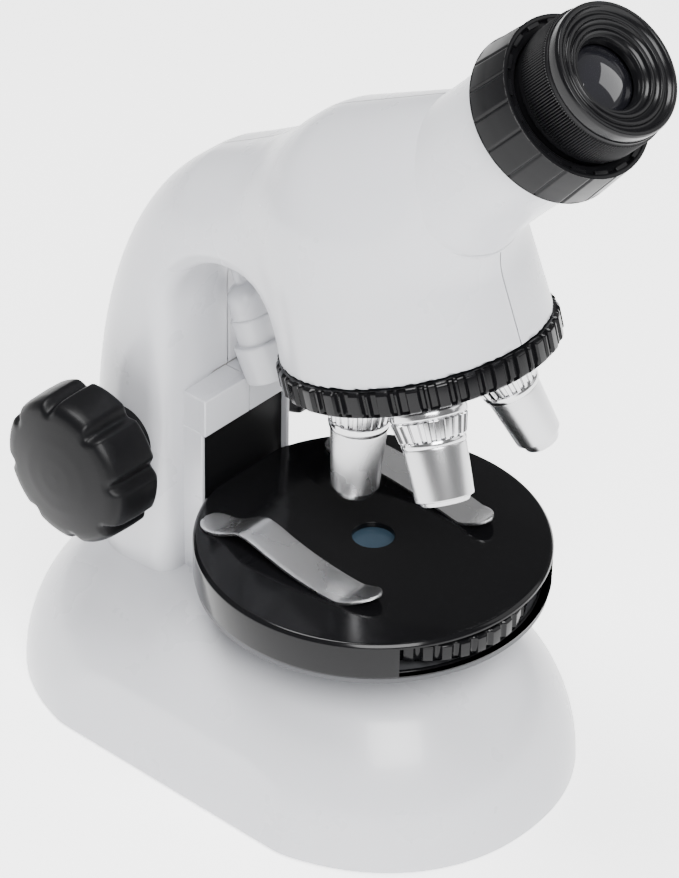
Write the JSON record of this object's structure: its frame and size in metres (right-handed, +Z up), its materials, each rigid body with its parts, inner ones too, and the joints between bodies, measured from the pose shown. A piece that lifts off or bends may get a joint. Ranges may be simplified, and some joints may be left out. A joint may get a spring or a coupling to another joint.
{
  "type": "student microscope",
  "caption": "Upright compound microscope with a domed base, C-shaped arm, round focusing stage with clips, tilted objective turret and an inclined zoom eyepiece.",
  "frame": {"origin": "centre of the bounding box on the table, under the feet", "axes": "+Z up; -Y towards the user, where the eyepiece leans; +X to the user's right; the YZ plane is the plane of symmetry of the stand"},
  "size_m": [0.093, 0.1674, 0.2177],
  "materials": {
    "white_plastic": "satin",
    "light_plastic": "matte",
    "gloss_black": "gloss",
    "black_plastic": "satin",
    "knob_plastic": "satin",
    "soft_black": "satin",
    "rubber": "matte",
    "steel": "satin",
    "grey_metal": "satin",
    "satin_aluminium": "satin",
    "chrome": "polished",
    "gear_plastic": "satin",
    "battery": "gloss",
    "circuit_board": "satin",
    "lens": "polished",
    "blue_glass": "polished",
    "mirror": "polished"
  },
  "bodies": {
    "stand": {"base_shell": "white_plastic", "base_cover": "light_plastic", "rubber_feet": "rubber", "base_screws": "steel", "battery_box": "light_plastic", "batteries": "battery", "battery_contacts": "steel", "battery_door": "light_plastic", "door_screw": "steel", "lower_lamp_bezel": "white_plastic", "lower_lamp_lens": "lens", "lower_lamp_board": "circuit_board", "switch_body": "black_plastic", "arm_left_shell": "white_plastic", "arm_right_shell": "white_plastic", "arm_screws": "steel", "column_screws": "steel", "shaft_bushes": "black_plastic", "top_lamp_housing": "white_plastic", "top_lamp_lens": "lens", "turret_carrier": "white_plastic", "click_spring": "steel", "mirror_holder": "black_plastic", "head_mirror": "mirror", "eyepiece_tube": "white_plastic", "turret_pivot": "steel"},
    "power_switch": {"switch_slider": "black_plastic"},
    "stage": {"stage_plate": "gloss_black", "stage_underplate": "grey_metal", "stage_window": "blue_glass", "stage_slider": "black_plastic", "focus_rack": "gear_plastic", "slider_screws": "steel", "diaphragm_pivot": "steel"},
    "diaphragm": {"diaphragm_wheel": "gloss_black"},
    "left_clip": {"left_stage_clip": "chrome"},
    "right_clip": {"right_stage_clip": "chrome"},
    "focus_drive": {"focus_shaft": "steel", "pinion": "gear_plastic", "left_focus_knob": "knob_plastic", "right_focus_knob": "knob_plastic"},
    "turret": {"turret_ring": "gloss_black", "turret_plate": "gloss_black", "objective_collars": "chrome", "high_power_objective": "satin_aluminium", "mid_power_objective": "satin_aluminium", "low_power_objective": "satin_aluminium", "objective_lenses": "lens"},
    "zoom_ring": {"zoom_ring": "black_plastic"},
    "eyepiece": {"eyepiece_barrel": "black_plastic", "eyecup": "soft_black", "eye_lens": "lens", "field_lens": "lens"}
  },
  "joints": [
    {"name": "focus_turn", "type": "hinge", "parent": "stand", "child": "focus_drive", "pos_m": [0, 0.04616, 0.0733], "axis": [1, 0, 0], "range_deg": [-66.9, 66.9]},
    {"name": "stage_height", "type": "slide", "parent": "stand", "child": "stage", "axis": [0, 0, 1], "range_m": [-0.007, 0.007]},
    {"name": "diaphragm_turn", "type": "hinge", "parent": "stage", "child": "diaphragm", "pos_m": [-0.003, -0.02844, 0.055], "axis": [0, 0, 1], "continuous": true},
    {"name": "left_clip_swing", "type": "hinge", "parent": "stage", "child": "left_clip", "pos_m": [-0.022, 0.01706, 0.061], "axis": [0, 0, 1], "range_deg": [-60, 18]},
    {"name": "right_clip_swing", "type": "hinge", "parent": "stage", "child": "right_clip", "pos_m": [0.022, 0.01706, 0.061], "axis": [0, 0, 1], "range_deg": [-18, 60]},
    {"name": "turret_turn", "type": "hinge", "parent": "stand", "child": "turret", "pos_m": [0, -0.02484, 0.1162], "axis": [0, 0.2957, 0.9553], "continuous": true},
    {"name": "zoom_turn", "type": "hinge", "parent": "stand", "child": "zoom_ring", "pos_m": [0, -0.05549, 0.1892], "axis": [0, -0.6909, 0.723], "range_deg": [0, 120]},
    {"name": "eyepiece_extend", "type": "slide", "parent": "stand", "child": "eyepiece", "axis": [0, -0.6909, 0.723], "range_m": [0, 0.006]},
    {"name": "switch_slide", "type": "slide", "parent": "stand", "child": "power_switch", "axis": [0, 1, 0], "range_m": [0, 0.0054]}
  ],
  "couplings": [
    {"joint": "focus_turn", "follows": "stage_height", "rad_per_m": -166.67},
    {"joint": "zoom_turn", "follows": "eyepiece_extend", "rad_per_m": 349.06}
  ]
}
